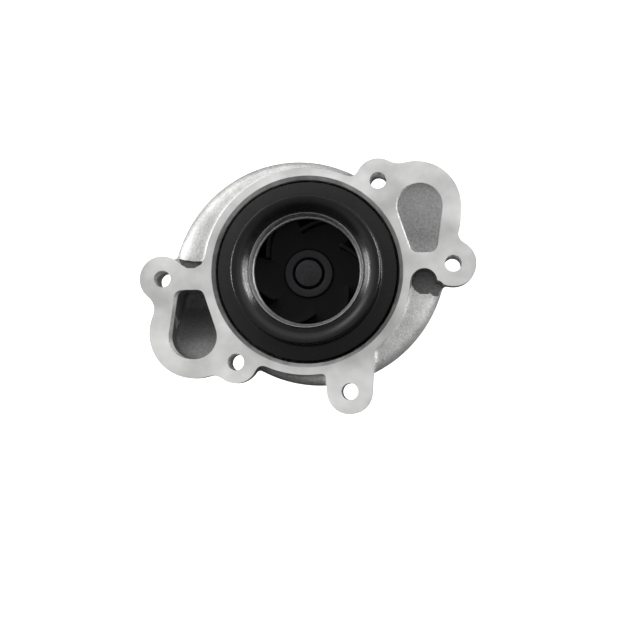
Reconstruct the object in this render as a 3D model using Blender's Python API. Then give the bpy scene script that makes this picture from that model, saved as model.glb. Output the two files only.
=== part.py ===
"""Engine water pump: twin-volute housing, closed impeller, mechanical seal, shaft bearing and drive hub.

Lengths below are in millimetres and angles in degrees. Meshes are scaled to metres as they are made.
+Z runs along the shaft from the drive hub, on which the pump stands, to the impeller.
The origin is on the shaft axis, at the end of the drive hub's pilot.
Seen from +Z, +X and +Y are right and up, and the impeller turns counterclockwise.
"""

import math

import bmesh
import bpy
from mathutils import Matrix, Vector

MM = 0.001
GAP = 0.3  # between pieces that touch
FINE, MEDIUM, COARSE = 42, 28, 20  # sides of a turned piece, by its size

# Levels along the shaft
FACE_Z = 104.0  # machined engine face
PROUD = 1.5  # metal above the engine face that machining removes
CHAMBER_DEPTH = 20.5
CHAMBER_FLOOR_Z = FACE_Z - CHAMBER_DEPTH
BACK_WALL = 5.5
BACK_Z = CHAMBER_FLOOR_Z - BACK_WALL
EAR_DEPTH = 24.0
PLATE_DEPTH = 12.0

# Engine flange, in plan
EAR_B, EAR_A, EAR_E = (78.1, 3.8), (38.1, 48.6), (22.9, -64.4)
EAR_RADIUS, SMALL_EAR_RADIUS = 12.4, 11.5
LOBE, LOBE_RADIUS = (59.2, 33.8), 23.8
RING_RADIUS = 55.8
FOOT_ROOT, FOOT_ROOT_RADIUS = (22.6, -41.0), 13.5
BOLT_RADIUS = 4.5  # clearance for an M8 bolt
SIDE_POCKET, SIDE_POCKET_RADIUS, SIDE_POCKET_DEPTH = (63.0, -5.6), 7.4, 11.5
EARS = {
    "a": (EAR_A, SMALL_EAR_RADIUS),
    "b": (EAR_B, EAR_RADIUS),
    "c": ((-EAR_A[0], -EAR_A[1]), SMALL_EAR_RADIUS),
    "d": ((-EAR_B[0], -EAR_B[1]), EAR_RADIUS),
    "e": (EAR_E, EAR_RADIUS - 0.2),
}

# Discharge ports: a big round end and two small corners, joined by straight sides
PORT_CIRCLES = (((60.5, 34.9), 12.2), ((58.6, 13.0), 3.3), ((65.6, 14.1), 4.4))
PORT_DEEP, PORT_SHALLOW = 26.5, 9.0
PORT_START_Y, PORT_END_Y = 14.0, 47.0
PORT_WALL = 4.5
PORT_ROWS = 7  # straight strips that a port's ramp is made of

# Impeller chamber and volutes
CHAMBER_RADIUS = 49.5
CHAMFER = 2.0
SCROLL_START, SCROLL_END = -30.0, 100.0  # degrees from the volute's quarter line
SCROLL_MIN_RADIUS, SCROLL_MAX_RADIUS, SCROLL_GROWTH, SCROLL_SPAN = 59.0, 74.0, 14.4, 114.0
SCROLL_INNER_RADIUS, SCROLL_WALL = 50.5, 4.0
PASSAGE_LEAVES, PASSAGE_LEAVING_SPAN = 62.0, 24.0  # where a waterway turns out of the chamber
PASSAGE_MAX_RADIUS = 69.5
PASSAGE_START_DEPTH, PASSAGE_DEEPENS_UNTIL = 21.0, 60.0  # its floor starts level with the chamber's
SCROLL_DEPTH = 18.0  # of the volute's widest line below the engine face
SCROLL_HALF_HEIGHT = 12.0
SECTION_POWER = 2.6  # how square a volute's section is; 2 is an ellipse

# Bearing, shaft and drive hub
SHAFT_RADIUS = 7.96
SHAFT_TOP = FACE_Z - 12.3
BEARING_RADIUS, BEARING_Z0, BEARING_Z1 = 15.0, 18.3, 57.2
BALL_RADIUS, BALL_PITCH_RADIUS, BALLS_PER_ROW = 2.8, 10.6, 8
BALL_ROWS = {"front": 28.0, "rear": 47.5}
LAND_RADIUS = 12.6
BEARING_SEAL_SEAT_RADIUS, BEARING_SEAL_SEAT_DEPTH = 13.2, 3.4
CAGE_INNER, CAGE_OUTER, CAGE_HALF_WIDTH = 9.6, 11.6, 3.9
GROOVE_RADIUS = BALL_RADIUS + GAP
SNOUT_RADIUS, SNOUT_Z = 21.5, 19.0
RIBS = (  # direction and reach
    (3.0, 62.0), (52.0, 56.0), (115.0, 53.0), (183.0, 62.0), (232.0, 56.0), (290.0, 58.0),
)
RIB_THICKNESS, RIB_ROOT_Z = 4.0, 40.0
FLANGE_RADIUS, FLANGE_Z0, FLANGE_Z1 = 37.0, 3.5, 10.0
PILOT_RADIUS = 15.0
HUB_TOP, HUB_NECK_RADIUS = 17.0, 16.0
PULLEY_BOLTS, PULLEY_BOLT_CIRCLE, PULLEY_BOLT_RADIUS = 4, 28.0, 3.4  # tapped M8
WEEP_Z, WEEP_RADIUS, VENT_RADIUS = 59.6, 2.4, 1.5

# Mechanical seal
SEAL_SEAT_RADIUS, SEAL_SEAT_Z0, SEAL_SEAT_Z1 = 18.3, 62.0, 71.9
SEAL_BORE = 10.6  # of the pieces that stand still round the shaft
SPRING_RADIUS, SPRING_WIRE_RADIUS, SPRING_TURNS = 14.2, 0.45, 2.0
SPRING_Z0, SPRING_Z1 = 65.3, 68.7

# Impeller
IMPELLER_RADIUS = 48.0
PLATE_Z0, PLATE_Z1 = FACE_Z - 18.5, FACE_Z - 16.0
IMPELLER_HUB_RADIUS, IMPELLER_HUB_Z0, IMPELLER_HUB_Z1 = 13.3, 80.9, FACE_Z - 13.8
VANES, VANE_INNER, VANE_OUTER, VANE_THICKNESS, VANE_ANGLE = 6, 22.6, 47.2, 1.8, 28.0
VANE_START = 100.0
SHROUD_UNDER = FACE_Z - 3.2
COLLAR_RADIUS, COLLAR_HEIGHT, THROAT_RADIUS, EYE_RADIUS = 39.7, 13.0, 30.9, 28.3

MATERIALS = {
    "cast_aluminium": ((0.62, 0.62, 0.62), 0.45, 1.0),
    "black_coated_steel": ((0.02, 0.02, 0.021), 0.4, 0.2),
    "bare_steel": ((0.45, 0.45, 0.45), 0.35, 1.0),
    "bearing_steel": ((0.55, 0.55, 0.56), 0.2, 1.0),
    "phosphated_steel": ((0.09, 0.09, 0.095), 0.55, 0.6),
    "stainless_steel": ((0.6, 0.6, 0.6), 0.25, 1.0),
    "rubber": ((0.02, 0.02, 0.02), 0.7, 0.0),
    "carbon": ((0.04, 0.04, 0.045), 0.5, 0.1),
    "ceramic": ((0.75, 0.73, 0.68), 0.3, 0.0),
    "nylon": ((0.35, 0.28, 0.18), 0.5, 0.0),
}


def clear_scene():
    for obj in list(bpy.data.objects):
        bpy.data.objects.remove(obj, do_unlink=True)


def material(name):
    """The named material, made once."""
    found = bpy.data.materials.get(name)
    if found:
        return found
    colour, roughness, metallic = MATERIALS[name]
    made = bpy.data.materials.new(name)
    made.use_nodes = True
    shader = made.node_tree.nodes["Principled BSDF"]
    shader.inputs["Base Color"].default_value = (*colour, 1.0)
    shader.inputs["Roughness"].default_value = roughness
    shader.inputs["Metallic"].default_value = metallic
    return made


def place(name, bm, finish=None):
    """Makes an object of a bmesh in millimetres. With no finish it is a helper that isn't rendered."""
    bmesh.ops.remove_doubles(bm, verts=bm.verts[:], dist=1e-4)
    bmesh.ops.recalc_face_normals(bm, faces=bm.faces[:])
    bmesh.ops.scale(bm, vec=(MM, MM, MM), verts=bm.verts[:])
    mesh = bpy.data.meshes.new(name)
    bm.to_mesh(mesh)
    bm.free()
    obj = bpy.data.objects.new(name, mesh)
    bpy.context.scene.collection.objects.link(obj)
    mesh.shade_smooth()
    mesh.set_sharp_from_angle(angle=math.radians(35))
    if finish:
        mesh.materials.append(material(finish))
    else:
        obj.hide_render = True
        obj.display_type = "WIRE"
    return obj


def polar(radius, degrees, z=0.0):
    a = math.radians(degrees)
    return Vector((radius * math.cos(a), radius * math.sin(a), z))


def turn_about_shaft(bm, degrees):
    turn = Matrix.Rotation(math.radians(degrees), 3, "Z")
    bmesh.ops.rotate(bm, cent=(0, 0, 0), matrix=turn, verts=bm.verts[:])


def raise_faces(bm, face, shift):
    """Extrudes a face into a prism and moves its far end by shift."""
    raised = bmesh.ops.extrude_face_region(bm, geom=[face])["geom"]
    far = [v for v in raised if isinstance(v, bmesh.types.BMVert)]
    bmesh.ops.translate(bm, vec=shift, verts=far)


def spun(profile, sides):
    """A bmesh turned about Z from a closed profile of (radius, z)."""
    bm = bmesh.new()
    verts = [bm.verts.new((r, 0.0, z)) for r, z in profile]
    pairs = zip(verts, verts[1:] + verts[:1])
    edges = [bm.edges.new(pair) for pair in pairs if max(v.co.x for v in pair) > 0]
    bmesh.ops.spin(
        bm, geom=edges, cent=(0, 0, 0), axis=(0, 0, 1),
        angle=2 * math.pi, steps=sides, use_merge=True,
    )
    return bm


def turned(name, profile, finish=None, sides=COARSE):
    return place(name, spun(profile, sides), finish)


def prism(name, outline, z0, z1, finish=None):
    """A plan outline of (x, y), counterclockwise, from z0 up to z1."""
    bm = bmesh.new()
    face = bm.faces.new([bm.verts.new((x, y, z0)) for x, y in outline])
    raise_faces(bm, face, (0, 0, z1 - z0))
    return place(name, bm, finish)


def rod(name, start, end, radius, sides=16):
    """A round cutter from start to end."""
    start, end = Vector(start), Vector(end)
    bm = bmesh.new()
    turn = (end - start).to_track_quat("Z", "Y").to_matrix().to_4x4()
    bmesh.ops.create_cone(
        bm, cap_ends=True, segments=sides, radius1=radius, radius2=radius,
        depth=(end - start).length, matrix=Matrix.Translation((start + end) / 2) @ turn,
    )
    return place(name, bm)


def combine(obj, other, operation):
    step = obj.modifiers.new(other.name, "BOOLEAN")
    step.operation = operation
    step.object = other
    step.solver = "EXACT"


# Plan outlines


def arc(centre, radius, start, end, step=12.0):
    """Points along an arc from start to end degrees; it runs clockwise when end is less than start."""
    count = max(2, math.ceil(abs(end - start) / step) + 1)
    angles = [math.radians(start + (end - start) * i / (count - 1)) for i in range(count)]
    return [(centre[0] + radius * math.cos(a), centre[1] + radius * math.sin(a)) for a in angles]


def heading(a, b):
    return math.degrees(math.atan2(b[1] - a[1], b[0] - a[0]))


def junction(first, second, fillet):
    """How two round bosses join, going counterclockwise.

    Returns the angle at which the outline leaves the first, the points between, and the angle at which
    it meets the second. A fillet of 0 is their outer tangent line, and any other a hollow arc of that radius.
    """
    (c1, r1), (c2, r2) = first, second
    gap = math.dist(c1, c2)
    along = heading(c1, c2)
    if fillet == 0:
        lean = math.degrees(math.acos((r1 - r2) / gap))
        return along - lean, [], along - lean
    reach1, reach2 = r1 + fillet, r2 + fillet
    share = (reach1**2 - reach2**2 + gap**2) / (2 * gap * reach1)
    off = along - math.degrees(math.acos(share))
    centre = arc(c1, reach1, off, off)[0]
    start = off + 180
    end = start - (start - heading(centre, c2)) % 360
    return off, arc(centre, fillet, start, end, 24.0)[1:-1], heading(c2, centre)


def outline_of(bosses, fillets):
    """The closed outline round a chain of (centre, radius) bosses; fillets[i] joins boss i to the next."""
    count = len(bosses)
    joins = [junction(bosses[i], bosses[(i + 1) % count], fillets[i]) for i in range(count)]
    points = []
    for i, (centre, radius) in enumerate(bosses):
        start = joins[i - 1][2]
        end = start + (joins[i][0] - start) % 360
        points += arc(centre, radius, start, end) + joins[i][1]
    return points


def opposite(boss):
    (x, y), radius = boss
    return (-x, -y), radius


def flange_outline():
    """The engine flange: ears, port lobes and the ring round the impeller, one half the other's, turned."""
    ring = ((0.0, 0.0), RING_RADIUS)
    lobe = (LOBE, LOBE_RADIUS)
    chain = [
        (EARS["b"], 6.0), (lobe, 8.0), (EARS["a"], 4.0), (ring, 8.5),
        (EARS["d"], 6.0), (opposite(lobe), 8.0), (EARS["c"], 4.0), (ring, 5.6),
    ]
    return outline_of([boss for boss, _ in chain], [fillet for _, fillet in chain])


def foot_outline():
    """The arm that carries the lower ear, rooted in the ring."""
    return outline_of([(FOOT_ROOT, FOOT_ROOT_RADIUS), EARS["e"]], [0, 0])


def grown(circles, extra):
    return [(centre, radius + extra) for centre, radius in circles]


def port_outline(extra=0.0):
    """The discharge port's outline, or one that stands outside it by extra."""
    big, left, right = grown(PORT_CIRCLES, extra)
    return outline_of([big, left, right], [0, 0, 0])


# Housing


def smooth_step(t):
    t = min(1.0, max(0.0, t))
    return t * t * (3 - 2 * t)


def port_floor(y, extra):
    """Depth of a port's ramp below the engine face, which is deep where the volute comes in."""
    t = smooth_step((y - PORT_START_Y) / (PORT_END_Y - PORT_START_Y))
    return PORT_DEEP + (PORT_SHALLOW - PORT_DEEP) * t + extra


def port_solid(name, turn, extra=0.0, top=PROUD):
    """A port's hollow, or the metal round it when extra is its wall: a prism on a curved ramp."""
    bm = bmesh.new()
    outline = port_outline(extra)
    face = bm.faces.new([bm.verts.new((x, y, 0.0)) for x, y in outline])
    raise_faces(bm, face, (0, 0, 100.0))
    low_y = PORT_START_Y - 2.0
    for i in range(1, PORT_ROWS):
        y = low_y + (PORT_END_Y - low_y) * i / PORT_ROWS
        geometry = bm.verts[:] + bm.edges[:] + bm.faces[:]
        bmesh.ops.bisect_plane(bm, geom=geometry, plane_co=(0, y, 0), plane_no=(0, 1, 0), dist=1e-5)
    for vert in bm.verts:
        lower = vert.co.z < 50.0
        vert.co.z = FACE_Z - port_floor(vert.co.y, extra) if lower else FACE_Z + top
    turn_about_shaft(bm, turn)
    return place(name, bm)


def scroll_radius(phi):
    share = max(0.0, phi - SCROLL_START) / SCROLL_SPAN
    return min(SCROLL_MIN_RADIUS + SCROLL_GROWTH * share**1.5, SCROLL_MAX_RADIUS)


def section(inner, outer, top, bottom, points):
    """A rounded section between two radii and two depths, as (radius, z)."""
    cr, cz = (inner + outer) / 2, FACE_Z - (top + bottom) / 2
    hr, hz = (outer - inner) / 2, (bottom - top) / 2
    made = []
    for i in range(points):
        c, s = math.cos(2 * math.pi * i / points), math.sin(2 * math.pi * i / points)
        made.append((
            cr + hr * math.copysign(abs(c) ** (2 / SECTION_POWER), c),
            cz + hz * math.copysign(abs(s) ** (2 / SECTION_POWER), s),
        ))
    return made


def swept_scroll(name, turn, start, end, shape, points=12, steps=14):
    """Sweeps shape(phi) round the shaft and caps both ends; turn is the angle of the quarter line."""
    bm = bmesh.new()
    rings = []
    for i in range(steps + 1):
        phi = start + (end - start) * i / steps
        rings.append([bm.verts.new(polar(r, turn + phi, z)) for r, z in shape(phi, points)])
    for near, far in zip(rings, rings[1:]):
        for i in range(points):
            bm.faces.new((near[i - 1], near[i], far[i], far[i - 1]))
    bm.faces.new(rings[0])
    bm.faces.new(rings[-1][::-1])
    return place(name, bm)


def shell_section(phi, points):
    top = SCROLL_DEPTH - SCROLL_HALF_HEIGHT
    bottom = SCROLL_DEPTH + SCROLL_HALF_HEIGHT
    return section(SCROLL_INNER_RADIUS, scroll_radius(phi), top, bottom, points)


def passage_section(phi, points):
    """The waterway: open to the chamber, then a tunnel that dives under the flange's arm to the port."""
    leaving = smooth_step((phi - PASSAGE_LEAVES) / PASSAGE_LEAVING_SPAN)
    inner = CHAMBER_RADIUS - 3.0 + 9.0 * leaving
    top = SCROLL_DEPTH - SCROLL_HALF_HEIGHT + SCROLL_WALL + 6.0 * leaving
    full_depth = SCROLL_DEPTH + SCROLL_HALF_HEIGHT - SCROLL_WALL
    deeper = smooth_step(phi / PASSAGE_DEEPENS_UNTIL)
    bottom = PASSAGE_START_DEPTH + (full_depth - PASSAGE_START_DEPTH) * deeper
    outer = min(scroll_radius(phi) - SCROLL_WALL, PASSAGE_MAX_RADIUS)
    return section(inner, outer, top, bottom, points)


def housing_core():
    """The barrel round the impeller, the back wall and the bearing snout, turned in one piece."""
    barrel = RING_RADIUS - 0.7  # the flange's outline gives the ring its full width
    return turned("pump_housing", [
        (0.0, SNOUT_Z), (SNOUT_RADIUS - 1.0, SNOUT_Z), (SNOUT_RADIUS, SNOUT_Z + 1.0),
        (SNOUT_RADIUS + 1.0, 52.0), (SNOUT_RADIUS + 3.5, 60.0), (SNOUT_RADIUS + 5.0, 68.0),
        (33.0, BACK_Z - 2.0), (40.0, BACK_Z), (51.0, BACK_Z), (barrel, BACK_Z + 4.0),
        (barrel, FACE_Z + PROUD), (0.0, FACE_Z + PROUD),
    ], "cast_aluminium", FINE)


def axial_bores():
    """Everything machined on the shaft axis: chamber, seal seat, weep chamber and bearing bore."""
    floor, above = CHAMBER_FLOOR_Z, 6.0
    bearing_bore, weep_chamber = BEARING_RADIUS + GAP, BEARING_RADIUS - 1.0
    return turned("cut_axial_bores", [
        (0.0, 10.0), (bearing_bore, 10.0), (bearing_bore, BEARING_Z1 + GAP),
        (weep_chamber, BEARING_Z1 + GAP), (weep_chamber, SEAL_SEAT_Z0),
        (SEAL_SEAT_RADIUS, SEAL_SEAT_Z0), (SEAL_SEAT_RADIUS, SEAL_SEAT_Z1),
        (21.4, SEAL_SEAT_Z1), (21.4, 73.6), (26.0, floor),
        (CHAMBER_RADIUS - 2.0, floor), (CHAMBER_RADIUS, floor + 2.5), (CHAMBER_RADIUS, FACE_Z - CHAMFER),
        (CHAMBER_RADIUS + CHAMFER + above, FACE_Z + above), (0.0, FACE_Z + above),
    ], sides=FINE)


def rib(name, degrees, reach):
    """A web from the snout out to the back wall, deep at the snout."""
    root, under = 15.0, CHAMBER_FLOOR_Z - 1.0
    corners = [
        (root, RIB_ROOT_Z), (SNOUT_RADIUS + 0.5, RIB_ROOT_Z), (reach, BACK_Z - 0.5),
        (reach, under), (root, under),
    ]
    # The section is drawn in the XZ plane, then given its thickness and turned
    bm = bmesh.new()
    face = bm.faces.new([bm.verts.new((r, -RIB_THICKNESS / 2, z)) for r, z in corners])
    raise_faces(bm, face, (0, RIB_THICKNESS, 0))
    turn_about_shaft(bm, degrees)
    return place(name, bm)


def housing_metal():
    """Everything that is cast onto the core. Tops step up a little, so that no two of them share a plane."""
    top = FACE_Z + PROUD
    made = [
        prism("add_flange_plate", flange_outline(), FACE_Z - PLATE_DEPTH, top + 0.3),
        prism("add_foot", foot_outline(), FACE_Z - PLATE_DEPTH - 0.3, top + 0.6),
    ]
    for name, (centre, radius) in EARS.items():
        circle = arc(centre, radius - 0.4, 0, 360, 15.0)[:-1]
        made.append(prism(f"add_ear_{name}", circle, FACE_Z - EAR_DEPTH, top + 0.6))
    for side, turn in (("left", 90.0), ("right", 270.0)):
        made.append(swept_scroll(f"add_scroll_{side}", turn, SCROLL_START, SCROLL_END, shell_section))
    for side, turn in (("right", 0.0), ("left", 180.0)):
        made.append(port_solid(f"add_port_{side}", turn, PORT_WALL, PROUD + 0.9))
    return made + [rib(f"add_rib_{i + 1}", *where) for i, where in enumerate(RIBS)]


def housing_cuts():
    """The hollows that the casting leaves, and all that is machined from it."""
    above, block = 6.0, 120.0
    square = [(-block, -block), (block, -block), (block, block), (-block, block)]
    made = [axial_bores(), prism("cut_engine_face", square, FACE_Z, FACE_Z + 10.0)]
    start, end = SCROLL_START + 6.0, SCROLL_END + 5.0
    for side, turn in (("left", 90.0), ("right", 270.0)):
        made.append(swept_scroll(f"cut_passage_{side}", turn, start, end, passage_section))
    for side, turn in (("right", 0.0), ("left", 180.0)):
        made.append(port_solid(f"cut_port_{side}", turn, 0.0, above - 1.0))
    for name, (centre, _) in EARS.items():
        low, high = (*centre, FACE_Z - EAR_DEPTH - 12.0), (*centre, FACE_Z + above)
        made.append(rod(f"cut_bolt_hole_{name}", low, high, BOLT_RADIUS))
    low, high = (*SIDE_POCKET, FACE_Z - SIDE_POCKET_DEPTH), (*SIDE_POCKET, FACE_Z + above)
    made.append(rod("cut_side_pocket", low, high, SIDE_POCKET_RADIUS, 20))
    made.append(rod("cut_weep_hole", (0, -10, WEEP_Z), (0, -40, WEEP_Z), WEEP_RADIUS, 12))
    made.append(rod("cut_vent_hole", (0, 10, WEEP_Z), (0, 40, WEEP_Z), VENT_RADIUS, 12))
    return made


def build_housing():
    housing = housing_core()
    for part in housing_metal():
        combine(housing, part, "UNION")
    for part in housing_cuts():
        combine(housing, part, "DIFFERENCE")


# Bearing


def groove(radius, z, sign):
    """Points of a ball groove in a land at this radius, from low z to high; sign is +1 in an outer ring."""
    half = math.degrees(math.acos(abs(radius - BALL_PITCH_RADIUS) / GROOVE_RADIUS))
    return [
        (
            BALL_PITCH_RADIUS + sign * GROOVE_RADIUS * math.cos(math.radians(a)),
            z + GROOVE_RADIUS * math.sin(math.radians(a)),
        )
        for a in (-half, -half / 3, half / 3, half)
    ]


def build_bearing():
    z0, z1 = BEARING_Z0, BEARING_Z1
    seat, depth = BEARING_SEAL_SEAT_RADIUS, BEARING_SEAL_SEAT_DEPTH
    inner = [(seat, z0), (seat, z0 + depth), (LAND_RADIUS, z0 + depth)]
    for z in BALL_ROWS.values():
        inner += groove(LAND_RADIUS, z, 1)
    inner += [(LAND_RADIUS, z1 - depth), (seat, z1 - depth), (seat, z1)]
    turned("bearing_outer_ring", [(BEARING_RADIUS, z1), (BEARING_RADIUS, z0)] + inner, "bearing_steel")
    bore, rim = SHAFT_RADIUS + GAP, seat - GAP
    for name, low, step in (("front", z0 + 0.6, 1), ("rear", z1 - 0.6, -1)):
        lip, high = low + 1.2 * step, low + 2.4 * step
        disc = [(bore, low), (rim, low), (rim, high), (11.0, high), (bore, lip)]
        turned(f"{name}_bearing_seal", disc, "rubber")
    for name, z in BALL_ROWS.items():
        build_ball_row(name, z)


def build_ball_row(name, z):
    low, high = z - CAGE_HALF_WIDTH, z + CAGE_HALF_WIDTH
    ring = [(CAGE_INNER, low), (CAGE_OUTER, low), (CAGE_OUTER, high), (CAGE_INNER, high)]
    cage = turned(f"{name}_ball_cage", ring, "nylon")
    for i in range(BALLS_PER_ROW):
        angle = 360.0 / BALLS_PER_ROW * i
        bm = bmesh.new()
        spot = Matrix.Translation(polar(BALL_PITCH_RADIUS, angle, z))
        bmesh.ops.create_icosphere(bm, subdivisions=2, radius=BALL_RADIUS, matrix=spot)
        place(f"{name}_ball_{i + 1}", bm, "bearing_steel")
        ends = polar(CAGE_INNER - 3.0, angle, z), polar(CAGE_OUTER + 3.0, angle, z)
        combine(cage, rod(f"cut_{name}_pocket_{i + 1}", *ends, GROOVE_RADIUS, 8), "DIFFERENCE")


def build_shaft():
    profile = [(0.0, 0.0), (SHAFT_RADIUS - 0.6, 0.0), (SHAFT_RADIUS, 0.6)]
    for z in BALL_ROWS.values():
        profile += groove(SHAFT_RADIUS, z, -1)
    profile += [(SHAFT_RADIUS, SHAFT_TOP - 0.8), (SHAFT_RADIUS - 0.8, SHAFT_TOP), (0.0, SHAFT_TOP)]
    turned("pump_shaft", profile, "bearing_steel")


def build_slinger():
    """A rubber collar with a thin lip, which throws any leak out to the weep hole."""
    bore, collar, lip = SHAFT_RADIUS + GAP, 9.3, 13.0
    turned("water_slinger", [
        (bore, WEEP_Z - 1.0), (bore, WEEP_Z + 1.8), (collar, WEEP_Z + 1.8), (collar, WEEP_Z),
        (lip, WEEP_Z + 0.6), (lip, WEEP_Z - 0.4), (collar, WEEP_Z - 1.0),
    ], "rubber")


# Mechanical seal: its cup, bellows, spring and carbon stand still, and its seat turns with the impeller


def build_seal():
    bore, cup = SEAL_BORE, SEAL_SEAT_RADIUS - GAP
    turned("seal_cup", [
        (cup, 62.3), (cup, 72.2), (21.0, 72.2), (21.0, 73.0), (cup - 0.8, 73.0), (cup - 0.8, 63.1),
        (bore, 63.1), (bore, 62.3),
    ], "stainless_steel")
    turned("seal_bellows", [
        (bore, 63.4), (16.8, 63.4), (16.8, 65.0), (12.0, 65.0), (11.8, 69.2), (14.2, 70.4), (14.2, 72.0),
        (bore, 72.0),
    ], "rubber")
    turned("seal_drive_band", [
        (12.6, 69.0), (15.4, 69.0), (15.4, 73.6), (14.6, 73.6), (14.6, 69.6), (12.6, 69.4),
    ], "stainless_steel")
    turned("carbon_seal_ring", [
        (bore, 72.3), (14.3, 72.3), (14.3, 75.0), (13.2, 75.0), (13.2, 76.1), (bore + 0.4, 76.1),
    ], "carbon")
    boot_bore, seat_bore = SHAFT_RADIUS + GAP, 9.9
    turned("seal_seat_ring", [(seat_bore, 76.4), (14.6, 76.4), (14.6, 79.4), (seat_bore, 79.4)], "ceramic")
    turned("seal_seat_boot", [
        (boot_bore, 76.8), (seat_bore - GAP, 76.8), (seat_bore - GAP, 79.7), (14.9, 79.7), (14.9, 80.6),
        (boot_bore, 80.6),
    ], "rubber")
    build_spring()


def build_spring():
    """The coil spring that presses the carbon on its seat; its wire is a six-sided tube."""
    bm = bmesh.new()
    per_turn, sides = 18, 6
    count = round(per_turn * SPRING_TURNS)
    low, high = SPRING_Z0 + SPRING_WIRE_RADIUS, SPRING_Z1 - SPRING_WIRE_RADIUS
    rings = []
    for i in range(count + 1):
        angle, z = 360.0 * i / per_turn, low + (high - low) * i / count
        section_points = [polar(SPRING_WIRE_RADIUS, 360.0 * k / sides) for k in range(sides)]
        rings.append([bm.verts.new(polar(SPRING_RADIUS + p.x, angle, z + p.y)) for p in section_points])
    for near, far in zip(rings, rings[1:]):
        for k in range(sides):
            bm.faces.new((near[k - 1], near[k], far[k], far[k - 1]))
    bm.faces.new(rings[0])
    bm.faces.new(rings[-1][::-1])
    place("seal_spring", bm, "stainless_steel")


# Impeller


def vane(number, start):
    """One backward-curved blade: a log spiral that stands on the plate and reaches up to the shroud."""
    bm = bmesh.new()
    steps = 6
    low, high = PLATE_Z1 - 1.0, SHROUD_UNDER - GAP
    half = VANE_THICKNESS / 2
    rings = []
    for i in range(steps + 1):
        radius = VANE_INNER + (VANE_OUTER - VANE_INNER) * i / steps
        angle = start - math.degrees(math.log(radius / VANE_INNER) / math.tan(math.radians(VANE_ANGLE)))
        centre = polar(radius, angle)
        side = polar(half, angle + VANE_ANGLE)  # square to the blade's line
        corners = ((side, low), (-side, low), (-side, high), (side, high))
        rings.append([bm.verts.new((*(centre + shift).xy, z)) for shift, z in corners])
    for near, far in zip(rings, rings[1:]):
        for k in range(4):
            bm.faces.new((near[k - 1], near[k], far[k], far[k - 1]))
    bm.faces.new(rings[0])
    bm.faces.new(rings[-1][::-1])
    return place(f"add_vane_{number}", bm)


def build_impeller():
    face, under, rim = FACE_Z, SHROUD_UNDER, FACE_Z + COLLAR_HEIGHT
    collar, throat = COLLAR_RADIUS, THROAT_RADIUS
    turned("impeller_shroud", [
        (IMPELLER_RADIUS, face - 1.0), (collar + 0.9, face - 1.0), (collar, face), (collar, rim - 0.8),
        (collar - 0.8, rim), (36.0, rim - 0.4), (32.4, face + 10.6), (throat, face + 8.6), (throat, under),
        (33.2, under), (33.2, face + 7.6), (37.4, face + 10.4), (37.4, face - 0.6), (40.0, under),
        (IMPELLER_RADIUS, under),
    ], "black_coated_steel", FINE)
    ring = throat - GAP
    turned("impeller_eye_ring", [
        (ring, face + 8.6), (ring - 0.9, face + 8.6), (EYE_RADIUS, face), (EYE_RADIUS, under), (ring, under),
    ], "bare_steel", FINE)
    bore = IMPELLER_HUB_RADIUS + GAP
    plate = turned("impeller_vane_plate", [
        (bore, PLATE_Z0), (IMPELLER_RADIUS, PLATE_Z0), (IMPELLER_RADIUS, PLATE_Z1), (bore, PLATE_Z1),
    ], "black_coated_steel", FINE)
    for i in range(VANES):
        combine(plate, vane(i + 1, VANE_START + 360.0 / VANES * i), "UNION")
    build_impeller_hub()


def build_impeller_hub():
    low, high, outer, bore = IMPELLER_HUB_Z0, IMPELLER_HUB_Z1, IMPELLER_HUB_RADIUS, SHAFT_RADIUS + GAP
    turned("impeller_hub", [
        (bore, low), (outer, low), (outer, high - 0.5), (outer - 0.5, high), (bore + 0.5, high),
        (bore, high - 0.5),
    ], "phosphated_steel", MEDIUM)


def build_drive_hub():
    bore = SHAFT_RADIUS + GAP
    hub = turned("drive_hub", [
        (bore, 0.0), (PILOT_RADIUS - 0.7, 0.0), (PILOT_RADIUS, 0.7), (PILOT_RADIUS, FLANGE_Z0),
        (FLANGE_RADIUS, FLANGE_Z0), (FLANGE_RADIUS, FLANGE_Z1), (HUB_NECK_RADIUS + 2.5, FLANGE_Z1),
        (HUB_NECK_RADIUS, FLANGE_Z1 + 2.5), (HUB_NECK_RADIUS, HUB_TOP), (bore, HUB_TOP),
    ], "phosphated_steel", FINE)
    for i in range(PULLEY_BOLTS):
        angle = 45.0 + 360.0 / PULLEY_BOLTS * i
        ends = polar(PULLEY_BOLT_CIRCLE, angle), polar(PULLEY_BOLT_CIRCLE, angle, FLANGE_Z1 + 4.0)
        combine(hub, rod(f"cut_pulley_bolt_{i + 1}", *ends, PULLEY_BOLT_RADIUS), "DIFFERENCE")


def main():
    clear_scene()
    build_housing()
    build_bearing()
    build_shaft()
    build_slinger()
    build_seal()
    build_impeller()
    build_drive_hub()


main()
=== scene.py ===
"""Engine water pump, seen on its impeller side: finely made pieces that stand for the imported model's solids.

Sizes in the code are in millimetres and angles in degrees, and are turned to metres where a tool takes them.
"""

import math

import bpy
from bpy.props import FloatProperty, FloatVectorProperty, IntProperty, PointerProperty
from mathutils import Matrix, Vector
from mathutils.geometry import intersect_point_line


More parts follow.
